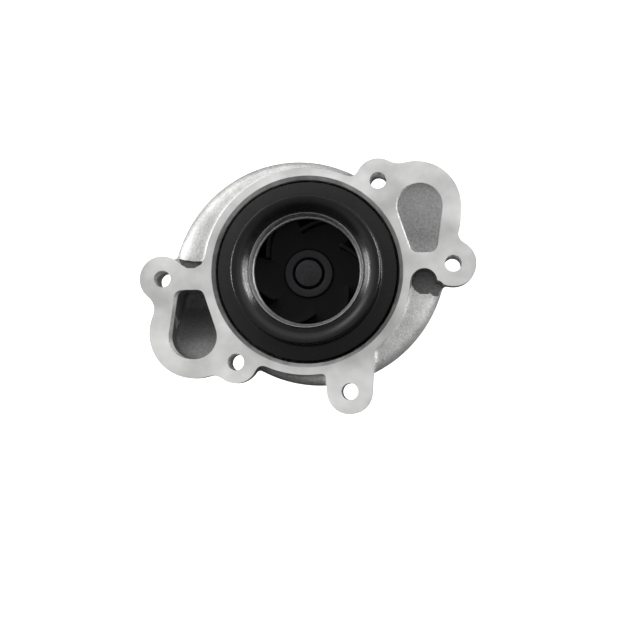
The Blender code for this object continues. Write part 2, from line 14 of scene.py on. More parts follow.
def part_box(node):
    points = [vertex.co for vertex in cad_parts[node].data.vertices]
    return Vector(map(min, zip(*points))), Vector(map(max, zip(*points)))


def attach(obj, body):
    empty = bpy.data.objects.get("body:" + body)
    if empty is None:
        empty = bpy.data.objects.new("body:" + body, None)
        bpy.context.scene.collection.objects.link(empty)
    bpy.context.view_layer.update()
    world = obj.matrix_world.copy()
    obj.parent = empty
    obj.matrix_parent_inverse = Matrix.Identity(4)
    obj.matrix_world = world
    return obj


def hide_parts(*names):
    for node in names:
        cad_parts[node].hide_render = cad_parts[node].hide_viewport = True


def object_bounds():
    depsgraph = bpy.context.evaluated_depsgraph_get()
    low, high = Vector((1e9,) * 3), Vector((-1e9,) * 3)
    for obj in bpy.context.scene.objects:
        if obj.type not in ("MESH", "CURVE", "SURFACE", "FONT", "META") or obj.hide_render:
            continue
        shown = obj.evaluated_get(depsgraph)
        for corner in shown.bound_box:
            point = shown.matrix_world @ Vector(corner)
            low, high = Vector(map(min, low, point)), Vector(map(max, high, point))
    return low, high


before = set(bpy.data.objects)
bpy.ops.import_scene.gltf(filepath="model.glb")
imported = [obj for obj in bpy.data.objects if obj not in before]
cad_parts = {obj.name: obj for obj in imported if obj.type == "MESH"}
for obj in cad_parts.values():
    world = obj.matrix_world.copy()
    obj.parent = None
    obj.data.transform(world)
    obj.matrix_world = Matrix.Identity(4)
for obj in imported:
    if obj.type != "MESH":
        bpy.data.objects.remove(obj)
CAD_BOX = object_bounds()

bl_info = {
    "name": "Engine water pump",
    "version": (1, 0, 0),
    "blender": (4, 5, 0),
    "location": "View3D > Sidebar > Water pump",
    "description": "Builds a twin-volute engine water pump, piece by piece",
    "category": "Add Mesh",
}

MM = 0.001
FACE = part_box("pump_housing")[1].z / MM  # height of the machined engine face
FLOOR = FACE - 20.5  # the impeller chamber's floor
STEPS, MIDDLE_STEPS, SMALL_STEPS = 112, 96, 64  # sides of large, middling and small turned pieces

# Engine flange in plan: centres and radii of the ears, the port lobes, the ring and the foot's root
EARS = {
    "a": ((38.1, 48.6), 12.0),
    "b": ((78.1, 3.8), 12.4),
    "c": ((-38.1, -48.6), 11.5),
    "d": ((-78.1, -3.8), 12.4),
    "e": ((22.9, -64.4), 12.2),
}
RIGHT_LOBE, RIGHT_SHOULDER = ((58.4, 34.8), 24.1), ((67.6, 26.5), 14.6)
LEFT_LOBE = ((-60.6, -33.0), 24.4)
RING = ((0.0, 0.0), 55.4)
FOOT_ROOT = ((22.6, -41.0), 13.5)

# Centres and radii of the right port's three corners, and the turn that takes it to each port's place
PORT = (((60.5, 34.9), 12.2), ((58.6, 13.0), 3.3), ((65.6, 14.1), 4.4))
PORTS = (("right", 0), ("left", 180))

# Direction from which each volute's angles are counted, and the angles over which its metal and waterway run
VOLUTES = (("upper", 90), ("lower", 270))
SHELL_SPAN, PASSAGE_SPAN = (-30, 100), (-24, 105)

# Hollow beside the right arm: name, centre, depth, and radius at the bottom and at the top of its cutter
SIDE_POCKETS = (
    ("right_pocket", (62.6, -5.7), 11.5, 6.1, 7.5), ("right_pocket_mouth", (69.2, -9.6), 11.5, 3.4, 4.8),
)
POCKET_RISE = 8  # how far such a cutter stands above the face
# The same beside the left arm, which is a narrow trench
TRENCH = (
    (-70.8, 7.8), (-66.5, 6.8), (-62, 6.2), (-56, 6.2), (-57, 3.9), (-60.7, 1.9), (-64.6, 1.9), (-68, 3.9),
)
TRENCH_DEPTH = 9

# Radii of the housing's bores, and of the chamber's chamfer at the face
BEARING_SEAT, SEAL_SEAT, CHAMBER, CHAMFER = 15.3, 18.3, 49.5, 51.5

# Radii of the shaft, and of the bore in what is pressed on it
SHAFT, SHAFT_BORE = 7.96, 8.26
# Bearing: height of each row; radii of a ball, of its centre's circle and of its groove; balls in a row
BALL_ROWS = {"front": 28.0, "rear": 47.5}
BALL_RADIUS, BALL_PITCH, GROOVE_RADIUS, BALLS = 2.8, 10.6, 3.1, 8
# Drive hub: number of holes, radius of the circle they lie on and of each hole
HUB_HOLES, HUB_HOLE_PITCH, HUB_HOLE_RADIUS = 4, 28, 3.4

WAVE = 20  # a wave texture turns through this many radians in one unit of its scale


def linear(hex_colour):
    """An sRGB hex colour as linear red, green and blue."""
    parts = [int(hex_colour[i : i + 2], 16) / 255 for i in (0, 2, 4)]
    return [p / 12.92 if p <= 0.04045 else ((p + 0.055) / 1.055) ** 2.4 for p in parts]


# Settings a user would change


class PumpSizes(bpy.types.PropertyGroup):
    grain: FloatProperty(
        name="Mould grain", description="Size of the voxels that form the casting", default=0.9 * MM,
        unit="LENGTH",
    )
    ear_depth: FloatProperty(
        name="Ear depth", description="Depth of a bolt ear below the engine face", default=24 * MM,
        unit="LENGTH",
    )
    plate_depth: FloatProperty(
        name="Flange depth", description="Thickness of the flange between the ears", default=12 * MM,
        unit="LENGTH",
    )
    bolt_hole: FloatProperty(
        name="Bolt hole", description="Diameter of the mounting holes", default=9 * MM, unit="LENGTH"
    )
    eye: FloatProperty(
        name="Impeller eye", description="Diameter of the impeller's inlet", default=56.6 * MM, unit="LENGTH"
    )
    vanes: IntProperty(name="Vanes", description="Number of vanes in the impeller", default=6, min=3, max=9)
    casting_faces: IntProperty(
        name="Casting faces", description="Triangles that the casting is thinned to before it is machined",
        default=150000, min=20000,
    )


class PumpFinishes(bpy.types.PropertyGroup):
    casting: FloatVectorProperty(
        name="Casting", description="Blasted die-cast aluminium", subtype="COLOR", default=linear("D6D6D5")
    )
    machined: FloatVectorProperty(
        name="Machined face", description="Milled aluminium", subtype="COLOR", default=linear("E6E6E5")
    )
    # Base grey of the cored finish, darker than the casting as painted shade; the cored finish makes a lighter
    # copy of it as painted light and a darker copy as painted shade
    cored_tone_lit_and_shaded: FloatVectorProperty(
        name="Port skin", description="Cored aluminium with its casting skin", subtype="COLOR",
        default=linear("8E8E8E"),
    )
    coat: FloatVectorProperty(
        name="Impeller coat", description="Black electrophoretic paint", subtype="COLOR",
        default=linear("0F0F10"),
    )
    eye_ring: FloatVectorProperty(
        name="Eye ring", description="Dull turned steel", subtype="COLOR", default=linear("D0D0CE")
    )
    phosphate: FloatVectorProperty(
        name="Hubs", description="Black phosphate on steel", subtype="COLOR", default=linear("2E2E30")
    )
    floor: FloatVectorProperty(
        name="Floor", description="Pale studio floor", subtype="COLOR", default=linear("F2F2F2")
    )


def sizes():
    """The sizes in the panel."""
    return bpy.context.scene.water_pump_sizes


def finishes():
    """The colours in the panel."""
    return bpy.context.scene.water_pump_finishes


# Modelling by hand, in small steps


def begin(name, primitive, **settings):
    """Adds a primitive with nothing else selected, and applies its place."""
    bpy.ops.object.select_all(action="DESELECT")
    primitive(**settings)
    piece = bpy.context.object
    piece.name = piece.data.name = name
    bpy.ops.object.transform_apply(location=True, rotation=True, scale=True)
    return piece


def only(piece):
    """Makes piece the one that operators act on."""
    bpy.ops.object.select_all(action="DESELECT")
    piece.select_set(True)
    bpy.context.view_layer.objects.active = piece


def modify(piece, kind, **settings):
    """Adds a modifier and applies it."""
    only(piece)
    step = piece.modifiers.new(kind.title(), kind)
    for setting, value in settings.items():
        setattr(step, setting, value)
    bpy.ops.object.modifier_apply(modifier=step.name)
    return piece


def cut(piece, tool, operation="DIFFERENCE", solver="EXACT"):
    """Cuts the tool from a piece, or unites them, and throws the tool away."""
    before = len(piece.data.vertices)
    modify(piece, "BOOLEAN", operation=operation, solver=solver, object=tool)
    if len(piece.data.vertices) == before:
        raise RuntimeError(f"{tool.name} changed nothing on {piece.name}")
    bpy.data.objects.remove(tool)
    return piece


def tidy_mesh():
    """In edit mode: closes seams and poles, and points every face outwards."""
    bpy.ops.mesh.select_all(action="SELECT")
    bpy.ops.mesh.remove_doubles(threshold=0.001 * MM)
    bpy.ops.mesh.delete_loose()
    bpy.ops.mesh.select_all(action="SELECT")
    bpy.ops.mesh.normals_make_consistent(inside=False)
    bpy.ops.object.mode_set(mode="OBJECT")


def trace(name, points):
    """Draws a line through points, one vertex extruded after another, and stays in edit mode."""
    points = [Vector(p) * MM for p in points]
    piece = begin(name, bpy.ops.mesh.primitive_plane_add, size=MM, location=points[0])
    bpy.ops.object.mode_set(mode="EDIT")
    bpy.ops.mesh.select_all(action="SELECT")
    bpy.ops.mesh.merge(type="CENTER")
    for here, there in zip(points, points[1:]):
        bpy.ops.mesh.extrude_region_move(TRANSFORM_OT_translate={"value": there - here})
    return piece


def turned(name, profile, edge=0.3, steps=SMALL_STEPS, smooth=32):
    """Turns a profile of (radius, height) about the shaft, closed unless both its ends are on the axis."""
    on_axis = profile[0][0] == 0 and profile[-1][0] == 0
    line = profile if on_axis else profile + profile[:1]
    piece = trace(name, [(r, 0, z) for r, z in line])
    bpy.ops.mesh.select_all(action="SELECT")
    bpy.ops.mesh.spin(steps=steps, angle=2 * math.pi, center=(0, 0, 0), axis=(0, 0, 1))
    tidy_mesh()
    if edge:
        round_edges(piece, edge)
    return smoothed(piece, smooth)


def round_edges(piece, width, segments=2, angle=28):
    """Breaks the edges that are sharper than angle."""
    return modify(
        piece, "BEVEL", width=width * MM, segments=segments, limit_method="ANGLE",
        angle_limit=math.radians(angle),
    )


def smoothed(piece, angle=32):
    """Shades a piece smooth, except at edges sharper than angle."""
    only(piece)
    bpy.ops.object.shade_smooth_by_angle(angle=math.radians(angle))
    return piece


def filled(name, outline, thickness):
    """Closes an outline of (x, y, z), fills it and extrudes it by its thickness, which is (x, y, z) too."""
    piece = trace(name, outline + outline[:1])
    bpy.ops.mesh.select_all(action="SELECT")
    bpy.ops.mesh.remove_doubles(threshold=0.001 * MM)
    bpy.ops.mesh.edge_face_add()
    bpy.ops.mesh.extrude_region_move(TRANSFORM_OT_translate={"value": [c * MM for c in thickness]})
    tidy_mesh()
    return piece


def slab(name, outline, low, high):
    """Raises an outline of (x, y) from one height to another."""
    return filled(name, [(x, y, low) for x, y in outline], (0, 0, high - low))


def pin(name, start, end, radius, sides=40, far_radius=None):
    """A round bar, or a cone where it has a far radius, from start to end."""
    start, end = Vector(start) * MM, Vector(end) * MM
    far = radius if far_radius is None else far_radius
    return begin(
        name, bpy.ops.mesh.primitive_cone_add, vertices=sides, radius1=radius * MM, radius2=far * MM,
        depth=(end - start).length, location=(start + end) / 2,
        rotation=(end - start).to_track_quat("Z", "Y").to_euler(),
    )


def turn_about_shaft(piece, degrees):
    """Turns a piece's mesh, so that its object stays unturned."""
    piece.data.transform(Matrix.Rotation(math.radians(degrees), 4, "Z"))
    return piece


def copied(piece, name):
    """A copy of a piece, with a mesh of its own."""
    copy = piece.copy()
    copy.data = piece.data.copy()
    copy.name = copy.data.name = name
    bpy.context.scene.collection.objects.link(copy)
    return copy


def gathered(pieces):
    """Joins pieces into the first one."""
    only(pieces[0])
    for piece in pieces[1:]:
        piece.select_set(True)
    bpy.ops.object.join()
    return pieces[0]


def finish(piece, material, body, slot, *nodes):
    """Gives a piece its finish, sets what it moves with, and hides the imported solids that it stands for."""
    if not piece.data.materials:
        piece.data.materials.append(material)
    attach(piece, body)
    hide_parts(*nodes)
    return piece


# Plan outlines of the casting


def arc(centre, radius, start, end, step=5.0):
    """Points along an arc from start to end degrees; it runs clockwise when end is less than start."""
    count = max(2, math.ceil(abs(end - start) / step) + 1)
    angles = [math.radians(start + (end - start) * i / (count - 1)) for i in range(count)]
    return [(centre[0] + radius * math.cos(a), centre[1] + radius * math.sin(a)) for a in angles]


def heading(a, b):
    """Direction from a to b, in degrees."""
    return math.degrees(math.atan2(b[1] - a[1], b[0] - a[0]))


def junction(first, second, fillet):
    """How the outline leaves one round boss for the next, counterclockwise.

    A fillet of 0 joins them by a straight tangent, and any other by a hollow arc of that radius.
    """
    (c1, r1), (c2, r2) = first, second
    gap, along = math.dist(c1, c2), heading(c1, c2)
    if fillet == 0:
        lean = along - math.degrees(math.acos((r1 - r2) / gap))
        return lean, [], lean
    reach1, reach2 = r1 + fillet, r2 + fillet
    off = along - math.degrees(math.acos((reach1**2 - reach2**2 + gap**2) / (2 * gap * reach1)))
    centre = arc(c1, reach1, off, off)[0]
    start = off + 180
    end = start - (start - heading(centre, c2)) % 360
    return off, arc(centre, fillet, start, end, 12)[1:-1], heading(c2, centre)


def outline_of(bosses, fillets):
    """The closed outline round a chain of (centre, radius) bosses; fillets[i] joins boss i to the next."""
    joins = [junction(boss, bosses[(i + 1) % len(bosses)], fillets[i]) for i, boss in enumerate(bosses)]
    points = []
    for i, (centre, radius) in enumerate(bosses):
        start = joins[i - 1][2]
        points += arc(centre, radius, start, start + (joins[i][0] - start) % 360) + joins[i][1]
    return points


def flange_outline():
    """The flange without its foot: each boss, and the fillet that leads on to the next."""
    chain = (
        (EARS["b"], 5.0), (RIGHT_SHOULDER, 0), (RIGHT_LOBE, 9.5), (EARS["a"], 4.0), (RING, 8.5),
        (EARS["d"], 8.0), (LEFT_LOBE, 8.0), (EARS["c"], 4.0), (RING, 6.6),
    )
    return outline_of([boss for boss, _ in chain], [fillet for _, fillet in chain])


def port_outline(extra=0.0):
    """A port in plan, or the outline that lies extra outside it."""
    return outline_of([(centre, radius + extra) for centre, radius in PORT], [0, 0, 0])


# Casting


def ease(t):
    """Goes smoothly from 0 to 1, and stays there."""
    t = min(1.0, max(0.0, t))
    return t * t * (3 - 2 * t)


def port_depth(y):
    """Depth of a port's ramp: deep where the volute comes in, shallow at the far end."""
    return 26.5 - 17.5 * ease((y - 14.0) / 33.0)


def port(name, turn, extra, top):
    """A port's hollow on its curved ramp, or the metal round it where extra is its wall."""
    piece = slab(name, port_outline(extra), FACE - 60, FACE + top)
    bpy.ops.object.mode_set(mode="EDIT")
    for y in range(12, 48, 2):  # sections along the ramp, for its curve
        bpy.ops.mesh.select_all(action="SELECT")
        bpy.ops.mesh.bisect(plane_co=(0, y * MM, 0), plane_no=(0, 1, 0))
    bpy.ops.object.mode_set(mode="OBJECT")
    for vert in piece.data.vertices:
        if vert.co.z < (FACE - 30) * MM:  # it is on the bottom
            vert.co.z = (FACE - port_depth(vert.co.y / MM) - extra) * MM
    return turn_about_shaft(piece, turn)


def scroll_outer(phi):
    """Outer radius of a volute, which widens towards its port."""
    share = max(0.0, phi + 30.0) / 114.0
    return min(59.0 + 14.4 * share**1.5, 74.0)


def shell_room(phi):
    """Inner and outer radius, and top and bottom depth, of the volute's outside at phi."""
    return 50.5, scroll_outer(phi), 6.0, 30.0


def passage_room(phi):
    """The same for the waterway: open to the impeller, then a tunnel that dives under the flange."""
    leaving = ease((phi - 62.0) / 24.0)
    bottom = 21.0 + 5.0 * ease(phi / 60.0)
    return 46.5 + 9.0 * leaving, min(scroll_outer(phi) - 4.0, 69.5), 10.0 + 6.0 * leaving, bottom


def scroll(name, turn, span, room, steps=44):
    """Carries a rounded section round the shaft, one extrusion after another, with the room for it there."""
    start, end = span
    inner, outer, top, bottom = room(start)
    first = Vector(((inner + outer) / 2, 0, FACE - (top + bottom) / 2))
    piece = begin(
        name, bpy.ops.mesh.primitive_circle_add, vertices=36, radius=1, fill_type="NGON",
        rotation=(math.pi / 2, 0, 0),
    )
    squareness = 0.77  # a volute's section is squared a little
    for vert in piece.data.vertices:
        x, z = (math.copysign(abs(c) ** squareness, c) for c in (vert.co.x, vert.co.z))
        vert.co = (first + Vector((x * (outer - inner) / 2, 0, z * (bottom - top) / 2))) * MM
    turn_about_shaft(piece, turn + start)
    bpy.ops.object.mode_set(mode="EDIT")
    bpy.ops.mesh.select_all(action="SELECT")
    for i in range(1, steps + 1):
        phi = start + (end - start) * i / steps
        new_inner, new_outer, new_top, new_bottom = room(phi)
        outward = Vector((math.cos(math.radians(turn + phi)), math.sin(math.radians(turn + phi)), 0))
        bpy.ops.mesh.extrude_region_move()
        # With no window, a positive turn is clockwise
        bpy.ops.transform.rotate(
            value=-math.radians((end - start) / steps), orient_axis="Z", center_override=(0, 0, 0)
        )
        wider = (new_outer - new_inner) / (outer - inner)
        taller = (new_bottom - new_top) / (bottom - top)
        middle = FACE - (top + bottom) / 2
        bpy.ops.transform.resize(
            value=(wider, wider, taller), center_override=(outward * inner + Vector((0, 0, middle))) * MM
        )
        drop = (new_top + new_bottom - top - bottom) / 2
        bpy.ops.transform.translate(value=(outward * (new_inner - inner) - Vector((0, 0, drop))) * MM)
        inner, outer, top, bottom = new_inner, new_outer, new_top, new_bottom
    tidy_mesh()
    return piece


def rib(name, degrees, reach):
    """A web from the bearing snout out to the back wall."""
    width = 4.4
    corners = ((15, 40), (22, 40), (reach, FLOOR - 6), (reach, FLOOR - 1), (15, FLOOR - 1))
    piece = filled(name, [(r, -width / 2, z) for r, z in corners], (0, width, 0))
    return turn_about_shaft(piece, degrees)


def casting():
    """The raw casting: its metal formed in one, then its waterways and ports, with soft fillets all over."""
    plate, ear = sizes().plate_depth / MM, sizes().ear_depth / MM
    back = FACE - 26.0
    proud = FACE + 3.0  # machining allowance
    core = turned("pump_housing_casting", [
        (0, 19.2), (20.5, 19.2), (21.5, 20.2), (22.5, 52), (24.5, 58), (26.5, 68), (31, back - 4),
        (36, back - 0.6), (51, back), (55.2, back + 4), (55.6, proud), (0, proud),
    ], edge=0, steps=STEPS)
    metal = [core, slab("flange", flange_outline(), FACE - plate, proud)]
    metal.append(slab("foot", outline_of([FOOT_ROOT, EARS["e"]], [0, 0]), FACE - plate, proud))
    for key, (centre, radius) in EARS.items():
        low, high = (*centre, FACE - ear), (*centre, proud)
        metal.append(pin(f"ear_{key}", low, high, radius - 1.0, 64, radius - 0.1))
    for side, turn in VOLUTES:
        metal.append(scroll(f"scroll_{side}", turn, SHELL_SPAN, shell_room))
    for side, turn in PORTS:
        metal.append(port(f"port_wall_{side}", turn, 4.5, 2.5))
    ribs = ((3, 62), (52, 56), (115, 53), (183, 62), (232, 56), (290, 58))
    metal += [rib(f"rib_{i}", degrees, reach) for i, (degrees, reach) in enumerate(ribs)]
    body = gathered(metal)
    grain = sizes().grain
    modify(body, "REMESH", mode="VOXEL", voxel_size=grain)
    modify(body, "SMOOTH", factor=0.5, iterations=8)

    hollows = []
    for side, turn in VOLUTES:
        hollows.append(scroll(f"passage_{side}", turn, PASSAGE_SPAN, passage_room))
    for side, turn in PORTS:
        hollows.append(port(f"port_{side}", turn, 0, 8))
    void = gathered(hollows)
    modify(void, "REMESH", mode="VOXEL", voxel_size=grain)
    modify(void, "SMOOTH", factor=0.5, iterations=3)
    cut(body, void, solver="MANIFOLD")
    modify(body, "REMESH", mode="VOXEL", voxel_size=grain)
    modify(body, "SMOOTH", factor=0.5, iterations=3)
    triangles = 2 * len(body.data.polygons)
    modify(body, "DECIMATE", ratio=min(1.0, sizes().casting_faces / triangles))
    return body


def port_lip(name, turn, lean):
    """A ragged bevel that the cutter leaves on one edge of a port, where the casting's wall leans away."""
    piece = slab(name, port_outline(-0.2), FACE - 1.2, FACE + 1.2)
    turn_about_shaft(piece, turn)
    for i, vert in enumerate(piece.data.vertices):
        if vert.co.z > FACE * MM:
            vert.co.x -= (lean + 0.4 * math.sin(2.3 * i)) * MM
    return piece


def machined(body):
    """Cuts the engine face, the bores, the holes with their seats, the ports' edges and the side hollows."""
    wide = 300 * MM
    above = (0, 0, FACE * MM + wide / 2)
    block = begin("face_cut", bpy.ops.mesh.primitive_cube_add, size=wide, location=above)
    cut(body, block, solver="MANIFOLD")
    bore = turned("bore_cut", [
        (0, 10), (BEARING_SEAT, 10), (BEARING_SEAT, 57.5), (14, 57.5), (14, 62), (SEAL_SEAT, 62),
        (SEAL_SEAT, 71.9), (21.4, 71.9), (21.4, 73.6), (26, FLOOR), (47.5, FLOOR), (CHAMBER, FLOOR + 2.5),
        (CHAMBER, FACE - 2.0), (CHAMFER + 4, FACE + 4), (0, FACE + 4),
    ], edge=0, steps=160)
    cut(body, bore, solver="MANIFOLD")
    radius = sizes().bolt_hole / 2 / MM
    for key, ((x, y), _) in EARS.items():
        cut(body, pin(f"hole_cut_{key}", (x, y, FACE - 40), (x, y, FACE + 6), radius, 56), solver="MANIFOLD")
        under = FACE - sizes().ear_depth / MM
        cut(body, pin(f"seat_cut_{key}", (x, y, under - 6), (x, y, under + 0.2), 9.6, 56), solver="MANIFOLD")
    for side, turn, lean in (("right", 0, 1.6), ("left", 180, 4.0)):
        cut(body, port_lip(f"lip_cut_{side}", turn, lean), solver="MANIFOLD")
    for name, (x, y), depth, low_radius, high_radius in SIDE_POCKETS:
        hollow = pin(name, (x, y, FACE - depth), (x, y, FACE + POCKET_RISE), low_radius, 96, high_radius)
        cut(body, hollow, solver="MANIFOLD")
    cut(body, slab("left_trench", list(TRENCH), FACE - TRENCH_DEPTH, FACE + 4), solver="MANIFOLD")
    cut(body, pin("weep_cut", (0, -10, 59.6), (0, -40, 59.6), 2.4, 24), solver="MANIFOLD")
    cut(body, pin("vent_cut", (0, 10, 59.6), (0, 40, 59.6), 1.5, 20), solver="MANIFOLD")
    return body


def in_port(x, y, z):
    """Whether a point is on a port's walls or ramp, by its round end or its narrow one."""
    side = 1 if x > 0 else -1
    x, y = x * side, y * side
    (cx, cy), radius = PORT[0]
    round_end = math.hypot(x - cx, y - cy) < radius + 1.4
    narrow_end = 53.6 < x < 71.4 and 7.0 < y < 30.0
    deepest = max(port_depth(y) + 3.0, 26.6)
    return (round_end or narrow_end) and FACE - z < deepest


def in_passage(x, y, z, outward):
    """Whether a face is on the wall of a waterway.

    Further out than a waterway's middle, a face that points away from the shaft is the volute's outside.
    """
    radius, depth = math.hypot(x, y), FACE - z
    start, end = PASSAGE_SPAN
    for _, turn in VOLUTES:
        phi = (math.degrees(math.atan2(y, x)) - turn + 180) % 360 - 180
        if start - 2 < phi < end + 1:
            inner, outer, top, bottom = passage_room(phi)
            if outward > 0.1 and radius > (inner + outer) / 2:
                return False
            across = max(inner, CHAMBER + 0.2) - 0.8 < radius < outer + 1.6
            if across and top - 1.6 < depth < bottom + 0.8:
                return True
    return False


def in_side_pocket(x, y, z):
    """Whether a point is on the wall of a hollow beside an arm, which gets the shaded cored copy as painted
    shade.
    """
    for _, (cx, cy), depth, low_radius, high_radius in SIDE_POCKETS:
        up = z - FACE + depth
        radius = low_radius + (high_radius - low_radius) * up / (depth + POCKET_RISE)
        away = math.hypot(x - cx, y - cy)
        if -0.1 < up < depth and (abs(away - radius) < 0.15 or (up < 0.1 and away < radius)):
            return True
    if not (x < -55.9 and 1.8 < y < 7.9 and -0.1 < z - FACE + TRENCH_DEPTH < TRENCH_DEPTH):
        return False
    here = Vector((x, y))
    for start, end in zip(TRENCH, TRENCH[1:] + TRENCH[:1]):
        nearest, share = intersect_point_line(here, start, end)
        if -0.01 < share < 1.01 and (here - nearest).length < 0.1:
            return True
    return z < FACE - TRENCH_DEPTH + 0.1


def share_out_finishes(body):
    """Gives each face of the housing a finish by where it lies and points: the finish of how it was made,
    except for the cored copies, which are painted light and painted shade.

    The tenths of a millimetre added to sizes allow for facets.
    """
    # The drilled copy's lighter tone is painted light on the shaded walls of the bolt holes
    bores = (cut_aluminium("bored_aluminium", 0.65), cut_aluminium("drilled_aluminium_painted_light", 1.2))
    body.data.materials.clear()
    for made in (cast_aluminium(), milled_aluminium(), *bores, *cored_aluminium_lit_and_shaded()):
        body.data.materials.append(made)
    cast, milled, bored, drilled, lit_core, shaded_core = range(6)
    holes = [centre for centre, _ in EARS.values()]
    hole = sizes().bolt_hole / 2 / MM + 0.1
    for face in body.data.polygons:
        x, y, z = (c / MM for c in face.center)
        radius = math.hypot(x, y)
        outward = face.normal.dot((x / radius, y / radius, 0)) if radius > 0 else 0
        seats = radius < SEAL_SEAT + 0.1 and z < FLOOR + 0.5
        floor = radius < CHAMBER - 0.5 and z < FLOOR + 0.3 and face.normal.z > 0.9
        chamfer = radius < CHAMFER + 0.2 and z > FACE - 2.1
        if z > FACE - 0.02:
            face.material_index = milled
        elif z > FACE - 1.4 and in_port(x, y, z) and face.normal.z > 0.3:
            face.material_index = bored
        elif any(math.hypot(x - cx, y - cy) < hole for cx, cy in holes):
            face.material_index = drilled
        elif abs(radius - CHAMBER) < 0.15 or chamfer or seats or floor:
            face.material_index = bored
        # Ports and waterways: the lit copy in the upper right is painted light, and the shaded copy elsewhere
        # is painted shade
        elif in_port(x, y, z) or in_passage(x, y, z, outward):
            face.material_index = lit_core if x > 0 and y > 0 else shaded_core
        # The hollows beside the arms get the shaded copy: painted shade
        elif in_side_pocket(x, y, z):
            face.material_index = shaded_core
        else:
            face.material_index = cast
    # A cutter leaves a sharp edge wherever it meets another finish
    beside = {}
    for face in body.data.polygons:
        for key in face.edge_keys:
            beside.setdefault(key, set()).add(face.material_index)
    for edge in body.data.edges:
        if len(beside[edge.key]) > 1:
            edge.use_edge_sharp = True


# Finishes


def add(tree, kind, settings=None, inputs=None):
    """Adds a node with its settings. An input is a value, or another node's output to link."""
    node = tree.nodes.new(kind)
    for name, value in (settings or {}).items():
        setattr(node, name, value)
    for name, value in (inputs or {}).items():
        if isinstance(value, bpy.types.NodeSocket):
            tree.links.new(value, node.inputs[name])
        else:
            node.inputs[name].default_value = value
    return node


def new_material(name, colour, metallic, roughness):
    """A material with its shader and its pattern coordinates: (material, tree, shader, coordinates)."""
    made = bpy.data.materials.new(name)
    made.use_nodes = True
    tree = made.node_tree
    shader = tree.nodes["Principled BSDF"]
    shader.inputs["Base Color"].default_value = (*colour, 1)
    shader.inputs["Metallic"].default_value = metallic
    shader.inputs["Roughness"].default_value = roughness
    place = add(tree, "ShaderNodeTexCoord").outputs["Object"]
    return made, tree, shader, place


def per(size):
    """Texture scale whose features are this many millimetres across."""
    return 1.0 / (size * MM)


def shade(colour, factor):
    """A colour made lighter or darker, as a socket takes it."""
    return (*(c * factor for c in colour), 1)


def spread(tree, pattern, low, high, start=0.3, end=0.7):
    """Turns a pattern that runs from start to end into a value from low to high."""
    return add(tree, "ShaderNodeMapRange", None, {
        "Value": pattern, "From Min": start, "From Max": end, "To Min": low, "To Max": high,
    }).outputs["Result"]


def ramp_between(tree, pattern, start, end, dark, light):
    """Turns a pattern that runs from start to end into a colour from dark to light."""
    factor = spread(tree, pattern, 0, 1, start, end)
    return add(tree, "ShaderNodeMix", {"data_type": "RGBA"}, {0: factor, 6: dark, 7: light}).outputs[2]


def raise_bump(tree, shader, height, strength, depth):
    """Gives the surface a relief this many millimetres deep."""
    bump = add(tree, "ShaderNodeBump", None, {"Height": height, "Strength": strength, "Distance": depth * MM})
    tree.links.new(bump.outputs["Normal"], shader.inputs["Normal"])


def cast_aluminium():
    """Die-cast aluminium, bead blasted: a bright, even grain with no direction, and dark clouds of oxide."""
    colour = finishes().casting
    made, tree, shader, place = new_material("cast_aluminium_blasted", colour, 0.55, 0.55)
    clouds = add(tree, "ShaderNodeTexNoise", None, {"Vector": place, "Scale": per(11), "Detail": 3.0})
    # Blasting leaves dents 0.1 to 0.2 mm wide, drawn at about 1 mm so that they show
    grain = add(tree, "ShaderNodeTexNoise", None, {"Vector": place, "Scale": per(0.9), "Detail": 2.0})
    pits = add(tree, "ShaderNodeTexVoronoi", None, {"Vector": place, "Scale": per(1.1)})
    mixed = add(tree, "ShaderNodeMath", {"operation": "MULTIPLY_ADD"}, {
        0: grain.outputs["Fac"], 1: 1.2, 2: clouds.outputs["Fac"],
    })
    tint = ramp_between(tree, mixed.outputs[0], 0.85, 1.35, shade(colour, 0.76), shade(colour, 1.1))
    tree.links.new(tint, shader.inputs["Base Color"])
    tree.links.new(spread(tree, grain.outputs["Fac"], 0.46, 0.64), shader.inputs["Roughness"])
    height = add(tree, "ShaderNodeMath", {"operation": "ADD"}, {
        0: grain.outputs["Fac"], 1: pits.outputs["Distance"],
    })
    raise_bump(tree, shader, height.outputs[0], 0.6, 0.16)
    return made


def cored_aluminium_lit_and_shaded():
    """Aluminium as the cores left it, in the ports, the waterways and the hollows beside the arms.

    It comes in two copies: the right one lighter and grainy, as painted light, and the left one darker and
    smoother, with flow ripples, as painted shade.
    """
    made_both = []
    # Each copy's tone scales the base grey: the right copy's 2.6 is painted light, the left copy's 0.75 is
    # painted shade
    for name, tone, ripple, grain_depth in (("right", 2.6, 0.25, 0.35), ("left", 0.75, 1.0, 0.15)):
        colour = shade(finishes().cored_tone_lit_and_shaded, tone)[:3]
        made, tree, shader, place = new_material(f"cored_aluminium_lit_and_shaded_{name}", colour, 0.4, 0.6)
        grain = add(tree, "ShaderNodeTexNoise", None, {"Vector": place, "Scale": per(1.2), "Detail": 4.0})
        flow = add(tree, "ShaderNodeTexWave", {"wave_type": "BANDS", "bands_direction": "Y"}, {
            "Vector": place, "Scale": per(1.57) / WAVE, "Distortion": 5.0, "Detail": 3.0, "Detail Scale": 1.4,
        })
        tint = ramp_between(tree, grain.outputs["Fac"], 0.3, 0.72, shade(colour, 0.82), shade(colour, 1.2))
        tree.links.new(tint, shader.inputs["Base Color"])
        tree.links.new(spread(tree, grain.outputs["Fac"], 0.62, 0.45), shader.inputs["Roughness"])
        relief = add(tree, "ShaderNodeMath", {"operation": "MULTIPLY_ADD"}, {
            0: flow.outputs["Fac"], 1: ripple, 2: grain.outputs["Fac"],
        })
        raise_bump(tree, shader, relief.outputs[0], 0.8, grain_depth)
        made_both.append(made)
    return made_both


